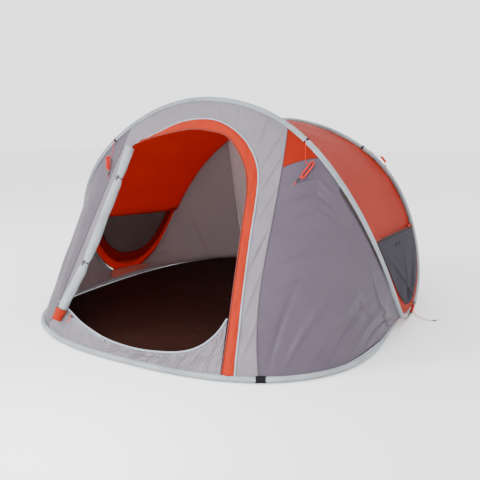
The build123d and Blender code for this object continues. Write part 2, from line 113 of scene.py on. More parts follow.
def wovenCloth(name, color, roughness=0.62, sheen=0.0, tone=0.08, threadsPerMetre=900.0, bump=0.12, glow=0.0,
               crease=0.35, glowColor=None, shine=0.06):
    mat, nodes, links, shader = shaderNodes(name)
    shader.inputs["Roughness"].default_value = roughness
    shader.inputs["Sheen Weight"].default_value = sheen
    shader.inputs["Sheen Roughness"].default_value = 0.45
    shader.inputs["Specular IOR Level"].default_value = shine
    coords = nodes.new("ShaderNodeTexCoord")
    patches = nodes.new("ShaderNodeTexNoise")
    patches.inputs["Scale"].default_value = 5.0
    patches.inputs["Detail"].default_value = 6.0
    links.new(coords.outputs["Object"], patches.inputs["Vector"])
    ramp = nodes.new("ShaderNodeValToRGB")
    dark = tuple(c * (1 - tone) for c in color) + (1,)
    light = tuple(min(c * (1 + tone), 1) for c in color) + (1,)
    ramp.color_ramp.elements[0].position = 0.3
    ramp.color_ramp.elements[0].color = dark
    ramp.color_ramp.elements[1].position = 0.7
    ramp.color_ramp.elements[1].color = light
    links.new(patches.outputs["Fac"], ramp.inputs["Fac"])
    links.new(ramp.outputs["Color"], shader.inputs["Base Color"])
    heights = []
    for way in ("X", "Y"):
        thread = nodes.new("ShaderNodeTexWave")
        thread.wave_type = "BANDS"
        thread.bands_direction = way
        thread.inputs["Scale"].default_value = threadsPerMetre * 0.314
        thread.inputs["Distortion"].default_value = 0.4
        links.new(coords.outputs["UV"], thread.inputs["Vector"])
        heights.append(thread)
    weave = nodes.new("ShaderNodeMath")
    weave.operation = "ADD"
    links.new(heights[0].outputs["Fac"], weave.inputs[0])
    links.new(heights[1].outputs["Fac"], weave.inputs[1])
    crumple = nodes.new("ShaderNodeTexNoise")
    crumple.inputs["Scale"].default_value = 26.0
    crumple.inputs["Detail"].default_value = 5.0
    links.new(coords.outputs["Object"], crumple.inputs["Vector"])
    threadBump = nodes.new("ShaderNodeBump")
    threadBump.inputs["Strength"].default_value = bump
    threadBump.inputs["Distance"].default_value = 0.0003
    links.new(weave.outputs["Value"], threadBump.inputs["Height"])
    crumpleBump = nodes.new("ShaderNodeBump")
    crumpleBump.inputs["Strength"].default_value = crease
    crumpleBump.inputs["Distance"].default_value = 0.004
    links.new(crumple.outputs["Fac"], crumpleBump.inputs["Height"])
    links.new(threadBump.outputs["Normal"], crumpleBump.inputs["Normal"])
    links.new(crumpleBump.outputs["Normal"], shader.inputs["Normal"])
    if glow > 0:
        # thin cloth lets some of the light behind it through
        through = nodes.new("ShaderNodeBsdfTranslucent")
        through.inputs["Color"].default_value = (*(glowColor or color), 1)
        both = nodes.new("ShaderNodeMixShader")
        both.inputs["Fac"].default_value = glow
        links.new(shader.outputs["BSDF"], both.inputs[1])
        links.new(through.outputs["BSDF"], both.inputs[2])
        links.new(both.outputs["Shader"], nodes["Material Output"].inputs["Surface"])
    return mat


def moulded(name, color, roughness=0.4, metallic=0.0):
    mat, nodes, links, shader = shaderNodes(name)
    shader.inputs["Roughness"].default_value = roughness
    shader.inputs["Metallic"].default_value = metallic
    coords = nodes.new("ShaderNodeTexCoord")
    grain = nodes.new("ShaderNodeTexNoise")
    grain.inputs["Scale"].default_value = 400.0
    links.new(coords.outputs["Object"], grain.inputs["Vector"])
    ramp = nodes.new("ShaderNodeValToRGB")
    ramp.color_ramp.elements[0].color = tuple(c * 0.85 for c in color) + (1,)
    ramp.color_ramp.elements[1].color = tuple(min(c * 1.15, 1) for c in color) + (1,)
    links.new(grain.outputs["Fac"], ramp.inputs["Fac"])
    links.new(ramp.outputs["Color"], shader.inputs["Base Color"])
    dents = nodes.new("ShaderNodeBump")
    dents.inputs["Strength"].default_value = 0.15
    dents.inputs["Distance"].default_value = 0.0005
    links.new(grain.outputs["Fac"], dents.inputs["Height"])
    links.new(dents.outputs["Normal"], shader.inputs["Normal"])
    return mat


cloths = {
    "pale": wovenCloth("paleCloth", (0.205, 0.190, 0.218), glow=0.22, glowColor=(0.62, 0.52, 0.54)),
    "paleInside": wovenCloth("paleClothInside", (0.30, 0.26, 0.25), roughness=0.8, glow=0.62,
                             glowColor=(0.95, 0.83, 0.80)),
    "purple": wovenCloth("purpleCloth", (0.072, 0.058, 0.080), glow=0.10, glowColor=(0.5, 0.42, 0.46),
                         crease=0.5,
                         shine=0.25, roughness=0.42),
    "purpleInside": wovenCloth("purpleClothInside", (0.20, 0.165, 0.16), roughness=0.8, glow=0.5,
                               glowColor=(0.85, 0.70, 0.70)),
    "orange": wovenCloth("orangeCloth", (0.235, 0.013, 0.004), glow=0.16, glowColor=(1.0, 0.085, 0.012)),
    "orangeInside": wovenCloth("orangeClothInside", (0.50, 0.034, 0.004), roughness=0.7, glow=0.5,
                               glowColor=(1.0, 0.085, 0.006)),
    "band": wovenCloth("bandCloth", (0.30, 0.020, 0.007), glow=0.06),
    # painted shade: darker red for the end band's inside where the vent flap overlaps it and lets less light
    # through
    "darkRed": wovenCloth("darkRedCloth", (0.32, 0.010, 0.003), roughness=0.8, glow=0.2,
                          glowColor=(0.6, 0.01, 0.0)),
    "sleeve": wovenCloth("sleeveCloth", (0.25, 0.275, 0.295), threadsPerMetre=350.0, bump=0.5, tone=0.2),
    "binding": wovenCloth("bindingTape", (0.24, 0.28, 0.32), threadsPerMetre=500.0),
    "flap": wovenCloth("flapCloth", (0.024, 0.021, 0.031), crease=0.5, glow=0.22,
                       glowColor=(0.75, 0.66, 0.68)),
    # painted shade: a dark cloth colour standing in for the shade under the front arch
    "shade": wovenCloth("paintedShadeCloth", (0.040, 0.030, 0.030), roughness=0.9),
    "mesh": wovenCloth("netCloth", (0.21, 0.165, 0.160), roughness=0.9, threadsPerMetre=250.0, bump=0.6,
                       glow=0.5,
                       glowColor=(0.5, 0.42, 0.42)),
    "floor": wovenCloth("floorCloth", (0.020, 0.0070, 0.0052), roughness=0.6),
    "roll": wovenCloth("rollCloth", (0.27, 0.29, 0.31), tone=0.2, crease=0.7),
    "cord": wovenCloth("guyCord", (0.55, 0.022, 0.010), threadsPerMetre=600.0, bump=0.5),
    "webbing": wovenCloth("darkWebbing", (0.008, 0.007, 0.009), threadsPerMetre=500.0, bump=0.4),
    "redWebbing": wovenCloth("redWebbing", (0.30, 0.012, 0.010), threadsPerMetre=500.0, bump=0.4),
    "thread": wovenCloth("seamThread", (0.095, 0.085, 0.10)),
    "darkThread": wovenCloth("darkSeamTape", (0.012, 0.009, 0.009)),
    "rod": moulded("rodFibre", (0.045, 0.045, 0.05), 0.35),
    "plastic": moulded("blackPlastic", (0.012, 0.012, 0.013), 0.45),
    "ferrule": moulded("ferruleAlloy", (0.55, 0.55, 0.57), 0.3, 1.0),
    "zipMetal": moulded("sliderPaint", (0.03, 0.03, 0.03), 0.4, 0.3),
    "pull": moulded("pullPlastic", (0.60, 0.03, 0.02), 0.5),
    "teeth": moulded("zipCoil", (0.02, 0.018, 0.02), 0.5),
}


# ---- the hoops' lines, in metres
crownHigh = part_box("crown_hoop")[1]
rodRadius = 0.004
hoops = {
    "halfSpan": crownHigh.x - rodRadius,
    "endY": 0.107,
    "endZ": 0.005,
    "frontSide": [(1.080, -0.240, 0.226), (0.985, -0.430, 0.576), (0.772, -0.496, 0.937),
                  (0.433, -0.462, 1.203)],
    "frontTop": (0, -0.464, crownHigh.z - rodRadius),
    "rearSide": [(1.079, 0.503, 0.164), (0.971, 0.688, 0.536), (0.741, 0.759, 0.890), (0.398, 0.716, 1.124)],
    "rearTop": (0, 0.656, 1.216),
    "groundHalfWidth": 1.050,
    "groundFront": 1.218,
    "groundRear": 1.218,
    "waistY": -0.355,
    "frontPower": 2.53,
    "rearPower": 2.69,
    "groundZ": 0.016,
    "frontFoot": math.radians(12.6),
    "rearFoot": math.radians(33.4),
    "sleeveStart": 0.047,
    "seamOnArch": 0.358,
    "seamOnHem": 0.311,
    "sleeveRadius": 0.0155,
}


def lineFunction(points):
    points = np.asarray(points, float)
    steps = np.linalg.norm(np.diff(points, axis=0), axis=1)
    place = np.concatenate([[0], np.cumsum(steps)])
    place /= place[-1]

    def at(share):
        share = np.asarray(share, float)
        return np.stack([np.interp(share, place, points[:, k]) for k in range(points.shape[1])], -1)
    return at


def splinePoints(points, startWay, endWay, perSpan=160):
    p = np.asarray(points, float)
    h = np.linalg.norm(np.diff(p, axis=0), axis=1)
    count = len(p)
    a, b = np.zeros((count, count)), np.zeros(p.shape)
    a[0, 0] = a[-1, -1] = 1
    b[0], b[-1] = startWay, endWay
    for i in range(1, count - 1):
        a[i, i - 1], a[i, i], a[i, i + 1] = h[i], 2 * (h[i] + h[i - 1]), h[i - 1]
        b[i] = 3 * (h[i] * (p[i] - p[i - 1]) / h[i - 1] + h[i - 1] * (p[i + 1] - p[i]) / h[i])
    m = np.linalg.solve(a, b)
    out = []
    for i in range(count - 1):
        t = np.linspace(0, 1, perSpan, endpoint=False)[:, None]
        out.append((2 * t**3 - 3 * t**2 + 1) * p[i] + (t**3 - 2 * t**2 + t) * h[i] * m[i]
                   + (3 * t**2 - 2 * t**3) * p[i + 1] + (t**3 - t**2) * h[i] * m[i + 1])
    return np.vstack(out + [p[-1:]])


def archLine(side, top, way):
    right = (hoops["halfSpan"], hoops["endY"], hoops["endZ"])
    left = (-hoops["halfSpan"], hoops["endY"], hoops["endZ"])
    mirrored = [(-x, y, z) for x, y, z in reversed(side)]
    return splinePoints([right] + side + [top] + mirrored + [left], (0, way, 0), (0, -way, 0))


def groundHoop(angles, inset=0.0, height=None):
    angles = np.asarray(angles, float)
    c, s = np.cos(angles), np.sin(angles)
    front = s < 0
    depth = np.where(front, hoops["groundFront"] + hoops["waistY"], hoops["groundRear"] - hoops["waistY"])
    power = np.where(front, hoops["frontPower"], hoops["rearPower"])
    across = np.abs(c / (hoops["groundHalfWidth"] - inset)) ** power
    along = np.abs(s / (depth - inset)) ** power
    reach = (across + along) ** (-1 / power)
    z = np.full_like(angles, hoops["groundZ"] if height is None else height)
    return np.stack([reach * c, hoops["waistY"] + reach * s, z], -1)


frontArchPoints = archLine(hoops["frontSide"], hoops["frontTop"], -1)
rearArchPoints = archLine(hoops["rearSide"], hoops["rearTop"], 1)
frontArch, rearArch = lineFunction(frontArchPoints), lineFunction(rearArchPoints)
frontHem = lineFunction(groundHoop(np.linspace(hoops["frontFoot"], -math.pi - hoops["frontFoot"], 600)))
rearHem = lineFunction(groundHoop(np.linspace(hoops["rearFoot"], math.pi - hoops["rearFoot"], 600)))


def mix(a, b, t):
    return a + (b - a) * t


def wall(arch, hem, first, last, across, down, sink=0.009, footSink=0.009):
    across, down = np.broadcast_arrays(np.asarray(across, float), np.asarray(down, float))
    onArch = mix(first[0], last[0], across)
    onHem = mix(first[1], last[1], across)
    start = hoops["sleeveStart"]
    top = arch(mix(start, 1 - start, onArch))
    foot = hem(onHem)
    run = np.linalg.norm(foot - top, axis=-1)
    return mix(top, foot, mix(sink / run, 1 - footSink / run, down)[..., None])


seamArch, seamHem = hoops["seamOnArch"], hoops["seamOnHem"]
rightFoot, rightSeam = (0, 0), (seamArch, seamHem)
leftSeam, leftFoot = (1 - seamArch, 1 - seamHem), (1, 1)


def frontMiddle(p, q):
    return wall(frontArch, frontHem, leftSeam, rightSeam, p, q)


# ---- meshes
def gridMesh(name, outer, inner, outerMaterial, innerMaterial=None, rowMaterials=None):
    columns, rows = outer.shape[:2]
    count = columns * rows
    verts = np.vstack([outer.reshape(-1, 3), inner.reshape(-1, 3)])
    i, j = np.meshgrid(np.arange(columns - 1), np.arange(rows - 1), indexing="ij")
    a = (i * rows + j).ravel()
    quads = np.stack([a, a + rows, a + rows + 1, a + 1], -1)
    back = quads[:, ::-1] + count
    rim = []
    loop = [(k, 0) for k in range(columns)] + [(columns - 1, k) for k in range(1, rows)]
    loop += [(k, rows - 1) for k in range(columns - 2, -1, -1)] + [(0, k) for k in range(rows - 2, 0, -1)]
    ids = [c * rows + r for c, r in loop]
    for m, n in zip(ids, ids[1:] + ids[:1]):
        rim.append((n, m, m + count, n + count))
    faces = np.vstack([quads, back, np.array(rim)])
    mesh = bpy.data.meshes.new(name)
    mesh.from_pydata(verts.tolist(), [], faces.tolist())
    mesh.materials.append(outerMaterial)
    mesh.materials.append(innerMaterial or outerMaterial)
    which = np.zeros(len(faces), int)
    which[len(quads):2 * len(quads)] = 1
    if rowMaterials:
        extra, test = rowMaterials
        mesh.materials.append(extra)
        which[len(quads):2 * len(quads)][test(j.ravel() / (rows - 1))] = 2
    mesh.polygons.foreach_set("material_index", which)
    mesh.polygons.foreach_set("use_smooth", np.ones(len(faces), bool))
    uv = mesh.uv_layers.new(name="cut")
    across = np.linalg.norm(np.diff(outer[:, rows // 2], axis=0), axis=1).sum() if columns > 1 else 1
    down = np.linalg.norm(np.diff(outer[columns // 2], axis=0), axis=1).sum()
    spots = np.zeros((2 * count, 2))
    gi, gj = np.meshgrid(np.arange(columns), np.arange(rows), indexing="ij")
    flat = np.stack([gi.ravel() / (columns - 1) * across, gj.ravel() / (rows - 1) * down], -1)
    spots[:count], spots[count:] = flat, flat
    corner = np.zeros(len(mesh.loops), int)
    mesh.loops.foreach_get("vertex_index", corner)
    uv.data.foreach_set("uv", spots[corner].ravel())
    mesh.update()
    piece = bpy.data.objects.new(name, mesh)
    bpy.context.scene.collection.objects.link(piece)
    return piece


def gridNormals(grid, outward):
    alongRows = np.gradient(grid, axis=0)
    alongColumns = np.gradient(grid, axis=1)
    normals = np.cross(alongRows, alongColumns)
    normals /= np.maximum(np.linalg.norm(normals, axis=-1, keepdims=True), 1e-12)
    flip = np.sign((normals * np.asarray(outward, float)).sum(-1, keepdims=True).mean())
    return normals * flip


def fold(u, v, start, end, width, height, strength=1.6):
    a, b = np.array(start, float), np.array(end, float)
    way = b - a
    long = np.linalg.norm(way)
    way /= long
    s = (u - a[0]) * way[0] + (v - a[1]) * way[1]
    off = (u - a[0]) * -way[1] + (v - a[1]) * way[0]
    share = np.clip(s / long, 0, 1)
    ends = np.sin(math.pi * share) ** 0.6
    w = width * (0.6 + 0.8 * share)
    return strength * height * ends * np.exp(-(off / w) ** 2)


def ripples(grid, scale, height, stretch=(1, 1, 1), seed=0.0, octaves=3):
    out = np.zeros(grid.shape[:2])
    pull = np.array(stretch, float)
    for i in range(grid.shape[0]):
        for j in range(grid.shape[1]):
            spot = Vector(grid[i, j] * pull * scale) + Vector((seed, seed * 0.7, -seed))
            out[i, j] = noise.fractal(spot, 1.0, 2.0, octaves)
    return out * height


def edgeFade(u, v, edge=0.08):
    near = np.minimum(np.minimum(u, 1 - u), np.minimum(v, 1 - v))
    return np.clip(near / edge, 0, 1) ** 0.7


def faceOutward(piece, grid, outward):
    normals = gridNormals(grid, outward)
    alongRows = np.gradient(grid, axis=0)
    alongColumns = np.gradient(grid, axis=1)
    made = np.cross(alongRows, alongColumns)
    if (made * normals).sum() < 0:
        piece.data.flip_normals()


def clothSheet(name, point, outward, outerMaterial, innerMaterial, nodes, shape=None,
               steps=(90, 60), across=(0, 1), down=(0, 1), thickness=0.0008,
               rowMaterials=None, body="root", lift=0.0):
    u, v = np.meshgrid(np.linspace(*across, steps[0]), np.linspace(*down, steps[1]), indexing="ij")
    flatGrid = point(u, v)
    normals = gridNormals(flatGrid, outward)
    grid = flatGrid + normals * lift
    if shape is not None:
        grid = grid + normals * shape(u, v, flatGrid)[..., None]
    piece = gridMesh(name, grid, grid - normals * thickness, outerMaterial, innerMaterial, rowMaterials)
    faceOutward(piece, grid, outward)
    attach(piece, body)
    if nodes:
        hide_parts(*nodes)
    wide = max(np.linalg.norm(np.diff(flatGrid, axis=0), axis=-1).sum(0))
    long = max(np.linalg.norm(np.diff(flatGrid, axis=1), axis=-1).sum(1))
    wide, long = max(round(float(wide), 3), 0.011), max(round(float(long), 3), 0.011)
    return piece


def tubeMesh(name, line, radii, material, sides=20, squash=None, up=(0, 0, 1)):
    line = np.asarray(line, float)
    ways = np.gradient(line, axis=0)
    ways /= np.linalg.norm(ways, axis=1, keepdims=True)
    upWay = np.broadcast_to(np.asarray(up, float), line.shape)
    side = np.cross(ways, upWay)
    side /= np.maximum(np.linalg.norm(side, axis=1, keepdims=True), 1e-9)
    top = np.cross(side, ways)
    angles = np.linspace(0, 2 * math.pi, sides, endpoint=False)
    radii = np.broadcast_to(np.asarray(radii, float), (len(line),))
    flat = squash or 1.0
    rings = (line[:, None] + side[:, None] * (np.cos(angles)[None, :, None] * radii[:, None, None])
             + top[:, None] * (np.sin(angles)[None, :, None] * radii[:, None, None] * flat))
    count = len(line)
    faces = []
    for i in range(count - 1):
        for k in range(sides):
            n = (k + 1) % sides
            faces.append((i * sides + k, i * sides + n, (i + 1) * sides + n, (i + 1) * sides + k))
    faces.append(tuple(range(sides))[::-1])
    faces.append(tuple((count - 1) * sides + k for k in range(sides)))
    mesh = bpy.data.meshes.new(name)
    mesh.from_pydata(rings.reshape(-1, 3).tolist(), [], faces)
    mesh.materials.append(material)
    mesh.polygons.foreach_set("use_smooth", [len(f) == 4 for f in faces])
    uv = mesh.uv_layers.new(name="cut")
    place = np.concatenate([[0], np.cumsum(np.linalg.norm(np.diff(line, axis=0), axis=1))])
    corner = np.zeros(len(mesh.loops), int)
    mesh.loops.foreach_get("vertex_index", corner)
    spots = np.stack([place[corner // sides],
                      (corner % sides) / sides * 2 * math.pi * radii[corner // sides]], -1)
    uv.data.foreach_set("uv", spots.ravel())
    mesh.update()
    piece = bpy.data.objects.new(name, mesh)
    bpy.context.scene.collection.objects.link(piece)
    return piece


def stand(piece, slotName, *nodes, body="root"):
    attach(piece, body)
    if nodes:
        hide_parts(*nodes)
    return piece


makeCamera()
makeStudio()
print("studio ready")



# ---- free cords: each guy line hangs from its tab, is wound into a hank, and goes through its runner
guySizes = {"diameter": 0.003, "turns": 7, "wide": 0.0105, "narrow": 0.0075, "pitch": 0.0022,
            "shift": 0.006, "pointsPerTurn": 16}
guys = {
    "front_right": {
        "line": [(0.637, -0.508, 1.073), (0.643, -0.519, 1.052), (0.649, -0.530, 1.022),
                 (0.654, -0.545, 0.988),
                 (0.663, -0.558, 0.954)],
        "hank": [(0.697, -0.530, 0.970), (0.652, -0.592, 0.884)],
        "tail": [(0.640, -0.604, 0.880), (0.634, -0.609, 0.873), (0.628, -0.614, 0.865),
                 (0.624, -0.620, 0.854)],
        "outward": (0.3, -0.85, 0.5),
        "length": 1.75,
    },
    "front_left": {
        "line": [(-0.634, -0.508, 1.072), (-0.630, -0.519, 1.050), (-0.623, -0.531, 1.022),
                 (-0.618, -0.547, 0.990), (-0.617, -0.561, 0.963)],
        "hank": [(-0.642, -0.552, 0.974), (-0.598, -0.606, 0.890)],
        "tail": [(-0.590, -0.619, 0.874), (-0.588, -0.623, 0.866), (-0.588, -0.628, 0.856),
                 (-0.592, -0.634, 0.846)],
        "outward": (-0.3, -0.85, 0.5),
        "length": 1.65,
    },
    "rear_right": {
        "line": [(0.644, 0.786, 0.992), (0.658, 0.786, 0.978), (0.676, 0.788, 0.964), (0.692, 0.787, 0.954),
                 (0.708, 0.782, 0.948)],
        "hank": [(0.722, 0.790, 0.944), (0.776, 0.690, 0.912)],
        "tail": [(0.794, 0.640, 0.890), (0.801, 0.628, 0.882), (0.808, 0.612, 0.872), (0.814, 0.596, 0.862)],
        "outward": (0.7, 0.1, 0.7),
        "length": 1.85,
    },
    "rear_left": {
        "line": [(-0.652, 0.782, 0.985), (-0.660, 0.795, 0.966), (-0.668, 0.812, 0.940),
                 (-0.676, 0.830, 0.912),
                 (-0.684, 0.850, 0.884)],
        "hank": [(-0.690, 0.862, 0.878), (-0.714, 0.912, 0.792)],
        "tail": [(-0.716, 0.930, 0.770), (-0.716, 0.934, 0.762), (-0.714, 0.939, 0.750),
                 (-0.710, 0.944, 0.738)],
        "outward": (-0.3, 0.85, 0.4),
        "length": 1.7,
    },
}


def cordCurve(name, points, diameter, material):
    data = bpy.data.curves.new(name, "CURVE")
    data.dimensions = "3D"
    data.bevel_depth = diameter / 2
    data.bevel_resolution = 4
    data.resolution_u = 8
    data.use_fill_caps = True
    spline = data.splines.new("NURBS")
    spline.points.add(len(points) - 1)
    for place, knot in zip(points, spline.points):
        knot.co = (*place, 1)
    spline.order_u = 3
    spline.use_endpoint_u = True
    data.materials.append(material)
    piece = bpy.data.objects.new(name, data)
    bpy.context.scene.collection.objects.link(piece)
    return piece


def hankTurns(first, last, outward):
    # long loops, nested in pairs and stacked a little more than a cord apart
    away = Vector(outward)
    first, last = Vector(first) + away * guySizes["shift"], Vector(last) + away * guySizes["shift"]
    way = last - first
    long = way.length
    way.normalize()
    side = away.cross(way).normalized()
    up = side.cross(way) * (1 if side.cross(way).dot(away) > 0 else -1)
    middle = (first + last) / 2
    points = []
    count = guySizes["pointsPerTurn"]
    for turn in range(guySizes["turns"]):
        half = guySizes["wide"] if turn % 2 == 0 else guySizes["narrow"]
        reach = long / 2 - half - 0.0015 - 0.0012 * ((turn * 3) % 5)
        for k in range(count):
            share = k / count
            angle = 2 * math.pi * share
            level = (turn + share - guySizes["turns"] / 2) * guySizes["pitch"]
            run = math.cos(angle)
            along = -math.copysign(min(abs(run) ** 0.45, 1), run) * reach - run * half * 0.75
            across = math.copysign(abs(math.sin(angle)) ** 0.7, math.sin(angle)) * half
            points.append(middle + way * along + side * across + up * level)
    return points


def makeGuy(name, guy):
    turns = hankTurns(*guy["hank"], guy["outward"])
    points = [Vector(p) for p in guy["line"]] + turns + [Vector(p) for p in guy["tail"]]
    sideWord, otherWord = name.split("_")
    piece = cordCurve(sideWord + otherWord.title() + "GuyCord", points, guySizes["diameter"], cloths["cord"])
    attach(piece, "root")
    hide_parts(name + "_guy_line", name + "_guy_hank")


for guyName, guySpec in guys.items():
    makeGuy(guyName, guySpec)

pegCordSizes = {
    "diameter": 0.003,
    "length": 0.235,
    "route": [(1.113, 0.204, 0.014), (1.123, 0.190, 0.008), (1.140, 0.170, 0.003), (1.162, 0.142, 0.0016),
              (1.190, 0.126, 0.0016), (1.220, 0.118, 0.0016), (1.240, 0.122, 0.0016), (1.258, 0.133, 0.0016),
              (1.270, 0.152, 0.0016), (1.274, 0.176, 0.0016)],
}
pegCord = cordCurve("pegCord", pegCordSizes["route"], pegCordSizes["diameter"], cloths["cord"])
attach(pegCord, "root")
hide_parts("peg_cord")
print("cords ready")


# ---- hard parts keep their frame shape and get their finish
hardFinishes = {
    "crown_hoop": "rod", "ground_hoop": "rod", "crown_ferrule": "ferrule", "ground_ferrule": "ferrule",
    "hem_joint_wrap": "webbing", "end_webbing": "redWebbing", "guy_tabs": "webbing",
    "zip_slider": "zipMetal", "zip_pull": "pull", "peg_cord_runner": "plastic",
    "front_right_guy_runner": "plastic", "front_left_guy_runner": "plastic",
    "rear_right_guy_runner": "plastic", "rear_left_guy_runner": "plastic",
}
for nodeName, finish in hardFinishes.items():
    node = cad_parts[nodeName]
    node.data.materials.clear()
    node.data.materials.append(cloths[finish])


# ---- sleeves round the hoops
sleeveSizes = {"radius": 0.0158, "flat": 0.82, "gather": 0.0011, "pipe": 0.0026, "steps": 420}


def sleeve(name, line, slotName, nodes, outward, material, start=0.0, end=1.0, radius=None):
    share = np.linspace(start, end, sleeveSizes["steps"])
    middle = line(share)
    size = radius or sleeveSizes["radius"]
    waves = np.array([noise.noise(Vector((s * 190, 1.3, 4.1))) for s in share])
    away = np.asarray(outward(middle), float)
    piece = tubeMesh(name, middle, size + waves * sleeveSizes["gather"], material, 24, sleeveSizes["flat"],
                     away)
    stand(piece, slotName, *nodes)
    return piece


def roofAway(middle):
    return middle - np.array([0, 0.1, 0.1])


start = hoops["sleeveStart"]
sleeve("frontArchSleeve", frontArch, "sleeve_grey", ["front_arch_sleeve"], roofAway, cloths["sleeve"],
       start, 1 - start)
sleeve("rearArchSleeve", rearArch, "sleeve_grey", ["rear_arch_sleeve"], roofAway, cloths["sleeve"],
       start, 1 - start)
frontHemFull = lineFunction(groundHoop(np.linspace(0.002, -math.pi - 0.002, 600)))
rearHemFull = lineFunction(groundHoop(np.linspace(0.004, math.pi - 0.004, 600)))


def hemUp(middle):
    return np.array([0, 0, 1.0])


sleeve("frontHemSleeve", frontHemFull, "sleeve_grey", ["front_hem_sleeve"], hemUp,
       cloths["sleeve"], radius=0.0150)
sleeve("rearHemSleeve", rearHemFull, "sleeve_grey", ["rear_hem_sleeve"], hemUp, cloths["sleeve"],
       radius=0.0150)


def stitching(name, line, offset, radius, material, start=0.0, end=1.0, steps=420, slotName="sleeve_grey"):
    middle = line(np.linspace(start, end, steps))
    piece = tubeMesh(name, middle + offset(middle), radius, material, 8)
    return stand(piece, slotName)


def outside(middle):
    way = middle - np.array([0, 0.05, 0.1])
    side = np.array([0, np.sign(middle[len(middle) // 2, 1]), 0])
    way = way / np.linalg.norm(way, axis=1, keepdims=True) * 0.4 + side
    return way / np.linalg.norm(way, axis=1, keepdims=True) * hoops["sleeveRadius"]


stitching("frontArchPiping", frontArch, outside, sleeveSizes["pipe"], cloths["binding"], start, 1 - start)
stitching("rearArchPiping", rearArch, outside, sleeveSizes["pipe"], cloths["binding"], start, 1 - start)
print("sleeves ready")


# ---- walls
def seamBow(down):
    bowed = wall(frontArch, frontHem, leftSeam, rightSeam,
                 1 - 0.033 * np.sin(math.pi * np.clip(down, 0, 1) ** 1.8), down)
    return bowed - wall(frontArch, frontHem, leftSeam, rightSeam, np.ones_like(down), down)


def middleFront(p, q):
    p, q = np.broadcast_arrays(np.asarray(p, float), np.asarray(q, float))
    weight = np.clip((p - 0.91) / 0.09, 0, 1)[..., None]
    return frontMiddle(p, q) + seamBow(q) * weight


def rightFront(across, down):
    across, down = np.broadcast_arrays(np.asarray(across, float), np.asarray(down, float))
    return (wall(frontArch, frontHem, rightSeam, rightFoot, across, down)
            + seamBow(down) * ((1 - across) ** 3)[..., None])


def leftFront(across, down):
    return wall(frontArch, frontHem, leftFoot, leftSeam, across, down)


def rearPart(first, last):
    def point(across, down):
        return wall(rearArch, rearHem, first, last, across, down, 0.0, -0.014)
    return point


gusset = {"onSeam": 0.185, "onArch": 0.18}


def gussetDepth(across):
    return np.maximum(gusset["onSeam"] * (1 - across / gusset["onArch"]), 0)


def rightMain(across, down):
    top = gussetDepth(across)
    return rightFront(across, mix(top, 1, down))


def rightGusset(across, down):
    place = across * gusset["onArch"]
    return rightFront(place, gussetDepth(place) * down)


def wrinkled(height, scale=3.0, stretch=(1, 1, 1), seed=0.0, folds=(), sag=0.0, edge=0.08):
    def shape(u, v, grid):
        fade = edgeFade(u, v, edge)
        out = ripples(grid, scale, height, stretch, seed) * fade
        for f in folds:
            out = out + fold(u, v, *f) * fade
        return out - sag * np.sin(math.pi * np.clip(u, 0, 1)) * np.sin(math.pi * np.clip(v, 0, 1))
    return shape


# each fold: where it starts and ends, in shares across and down, how wide and how high
rightFolds = [((0.00, 0.14), (0.30, 0.10), 0.012, 0.006), ((0.00, 0.22), (0.34, 0.15), 0.014, -0.006),
              ((0.00, 0.30), (0.38, 0.22), 0.013, 0.006), ((0.00, 0.40), (0.30, 0.34), 0.012, 0.004),
              ((0.02, 0.52), (0.26, 0.46), 0.012, -0.004), ((0.02, 0.62), (0.34, 0.52), 0.015, 0.004),
              ((0.10, 0.98), (0.30, 0.62), 0.016, 0.008), ((0.04, 0.97), (0.16, 0.55), 0.014, -0.006),
              ((0.20, 0.99), (0.50, 0.50), 0.018, 0.007), ((0.30, 0.99), (0.62, 0.45), 0.016, -0.007),
              ((0.42, 0.98), (0.85, 0.30), 0.020, 0.010), ((0.52, 0.97), (0.90, 0.52), 0.018, -0.008),
              ((0.62, 0.96), (0.97, 0.72), 0.018, 0.007), ((0.48, 0.55), (0.58, 0.68), 0.03, -0.005),
              ((0.56, 0.22), (0.94, 0.88), 0.020, 0.007)]
clothSheet("frontRightPanel", rightMain, (0.5, -1, 0.6), cloths["purple"], cloths["purpleInside"],
           ["front_right_panel"],
           wrinkled(0.007, 3.2, seed=1.0, folds=rightFolds, sag=0.010), (190, 140))


def paintedShadeStrip(across, down):
    # the panel's edge under the arch: painted shade, a dark sheet standing in for the shade the arch casts on
    # it
    return rightFront(across, mix(0.0, 0.015 + 0.035 * np.sin(math.pi * np.clip(across, 0, 1)), down))


clothSheet("archShadeStrip", paintedShadeStrip, (0.5, -1, 0.6), cloths["shade"], cloths["shade"], [],
           None, (120, 8), across=(0.30, 0.995), lift=0.004)


def skirt(across, down):
    # the narrow skirt between the wall's lower edge and the hem
    return rightFront(across, mix(1.0 - 0.034 * np.clip((across - 0.35) / 0.25, 0, 1), 1.0, down))


clothSheet("hemSkirt", skirt, (0.5, -1, 0.6), cloths["sleeve"], cloths["sleeve"], [], None,
           (160, 8), across=(0.35, 0.995), lift=0.005)
clothSheet("frontRightGusset", rightGusset, (0.5, -1, 0.6), cloths["orange"], cloths["orangeInside"],
           ["front_right_gusset"], None, (40, 24), across=(0.0, 0.985), lift=0.001)
leftFolds = [((0.2, 0.2), (0.9, 0.8), 0.05, 0.004), ((0.7, 0.1), (0.9, 0.9), 0.04, -0.004)]
clothSheet("frontLeftPanel", leftFront, (-0.5, -1, 0.6), cloths["purple"], cloths["purpleInside"],
           ["front_left_panel"], wrinkled(0.004, 2.6, seed=2.0, folds=leftFolds, sag=0.005),
           (90, 70))
rearFolds = [((0.1, 0.1), (0.35, 0.9), 0.02, 0.008), ((0.5, 0.05), (0.62, 0.9), 0.018, -0.008),
             ((0.9, 0.1), (0.7, 0.9), 0.02, 0.008), ((0.3, 0.15), (0.45, 0.8), 0.016, -0.008),
             ((0.15, 0.5), (0.22, 0.98), 0.012, 0.007), ((0.28, 0.45), (0.30, 0.98), 0.012, -0.006)]
rearLift = -0.015   # the rear walls and the roof hang inside the sleeves
